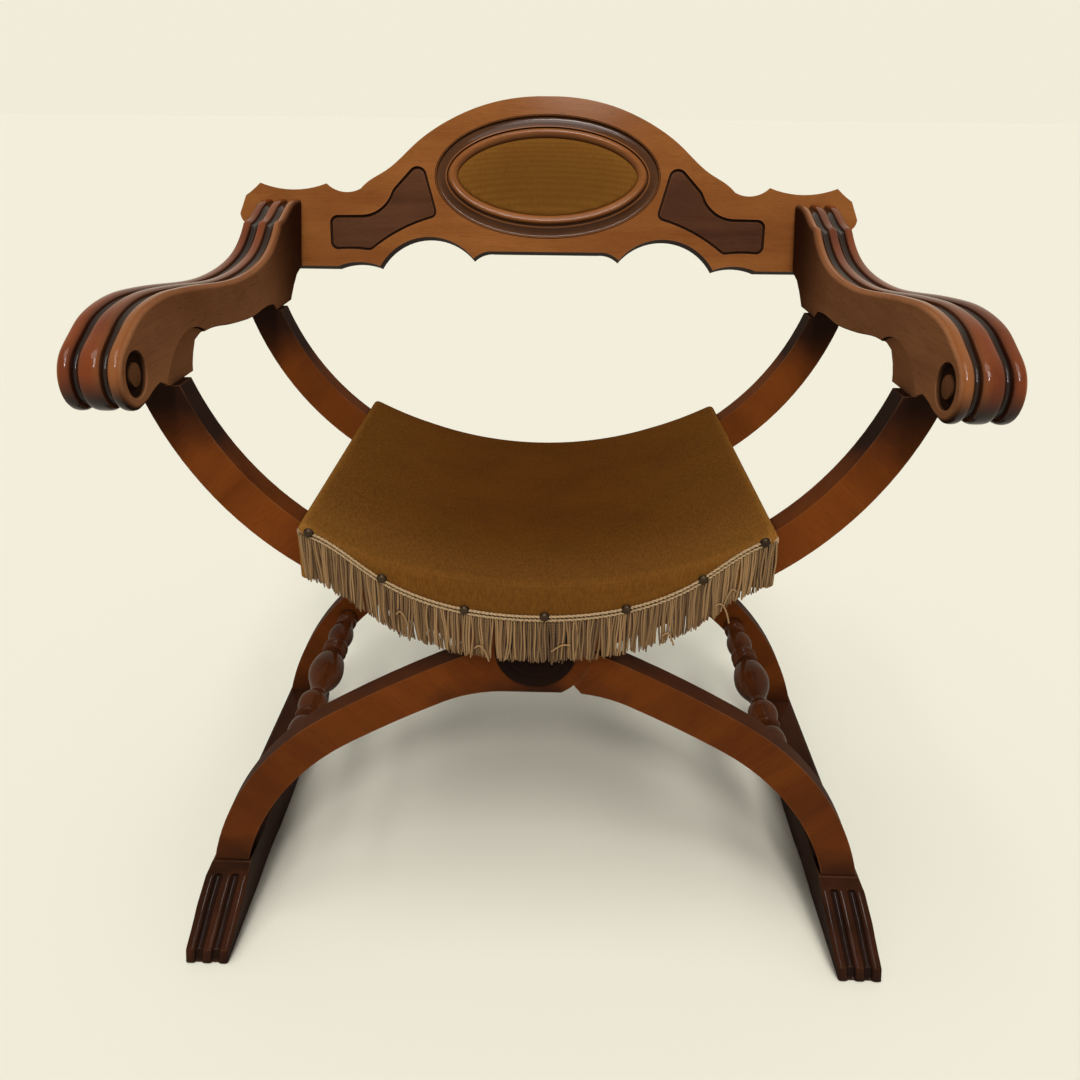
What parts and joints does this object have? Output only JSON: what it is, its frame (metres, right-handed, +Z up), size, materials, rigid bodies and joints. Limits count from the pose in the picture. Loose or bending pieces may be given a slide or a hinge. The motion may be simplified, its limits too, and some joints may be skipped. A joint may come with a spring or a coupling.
{
  "type": "folding savonarola armchair",
  "caption": "Folding wooden armchair with X-crossed curved legs on a common pivot, scrolled arms, a lift-off carved crest board and a dished velvet seat with fringe.",
  "frame": {"origin": "on the floor under the middle of the chair's box", "axes": "+Z up, the chair faces -Y, +X to the right of someone looking at its front"},
  "size_m": [0.72, 0.577, 0.7868],
  "materials": {
    "frame_wood": "reddish brown stained hardwood, satin lacquer, brighter on the eased edges",
    "arm_wood": "orange-brown reeded hardwood, glossy lacquer, near-black in the flutes",
    "foot_wood": "darkened brown stained hardwood, worn satin lacquer",
    "turned_wood": "turned reddish brown hardwood, satin lacquer",
    "crest_wood": "reddish brown board, satin lacquer, stippled dull ground in the sunk panels",
    "plain_wood": "unfinished softwood boards",
    "velvet": "mustard and olive brown cotton velvet, rubbed lighter at the edges",
    "wadding": "cotton and horsehair wadding",
    "fringe_cord": "beige cotton cut fringe under a woven braid",
    "brass_nails": "antiqued dark brass, domed",
    "iron": "plain dull iron"
  },
  "bodies": {
    "pivot": {"pivot_pin_front": "iron", "pivot_pin_rear": "iron", "rosette_front": "arm_wood", "rosette_rear": "arm_wood"},
    "side_a": {"front_leg_a": "frame_wood", "rear_leg_a": "frame_wood", "arm_right": "arm_wood", "arm_hook_right": "iron", "arm_hook_screws_right": "iron", "runner_left": "foot_wood", "stretcher_left": "turned_wood"},
    "side_b": {"front_leg_b": "frame_wood", "rear_leg_b": "frame_wood", "arm_left": "arm_wood", "arm_hook_left": "iron", "arm_hook_screws_left": "iron", "runner_right": "foot_wood", "stretcher_right": "turned_wood"},
    "seat": {"seat_board": "plain_wood", "seat_pad": "wadding", "seat_cover": "velvet", "fringe_braid": "fringe_cord", "fringe": "fringe_cord", "dome_nails": "brass_nails"},
    "crest": {"crest_board": "crest_wood", "crest_oval_ring": "crest_wood", "crest_oval_backing": "plain_wood", "crest_oval_pad": "velvet", "crest_catch_left": "iron", "crest_catch_right": "iron", "crest_catch_screws": "iron"}
  },
  "joints": [
    {"name": "fold_a", "type": "hinge", "parent": "pivot", "child": "side_a", "pos_m": [0, 0, 0.334], "axis": [0, -1, 0], "range_deg": [0, 34]},
    {"name": "fold_b", "type": "hinge", "parent": "pivot", "child": "side_b", "pos_m": [0, 0, 0.334], "axis": [0, 1, 0], "range_deg": [0, 34]},
    {"name": "seat_lift", "type": "slide", "parent": "pivot", "child": "seat", "axis": [0, 0, 1], "range_m": [0, 0.84]},
    {"name": "crest_lift", "type": "slide", "parent": "pivot", "child": "crest", "axis": [0, 0.3256, 0.9455], "range_m": [0, 0.81]}
  ],
  "couplings": [
    {"joint": "fold_b", "follows": "fold_a", "ratio": 1},
    {"joint": "seat_lift", "follows": "fold_a", "m_per_rad": 1.4},
    {"joint": "crest_lift", "follows": "fold_a", "m_per_rad": 1.35}
  ]
}
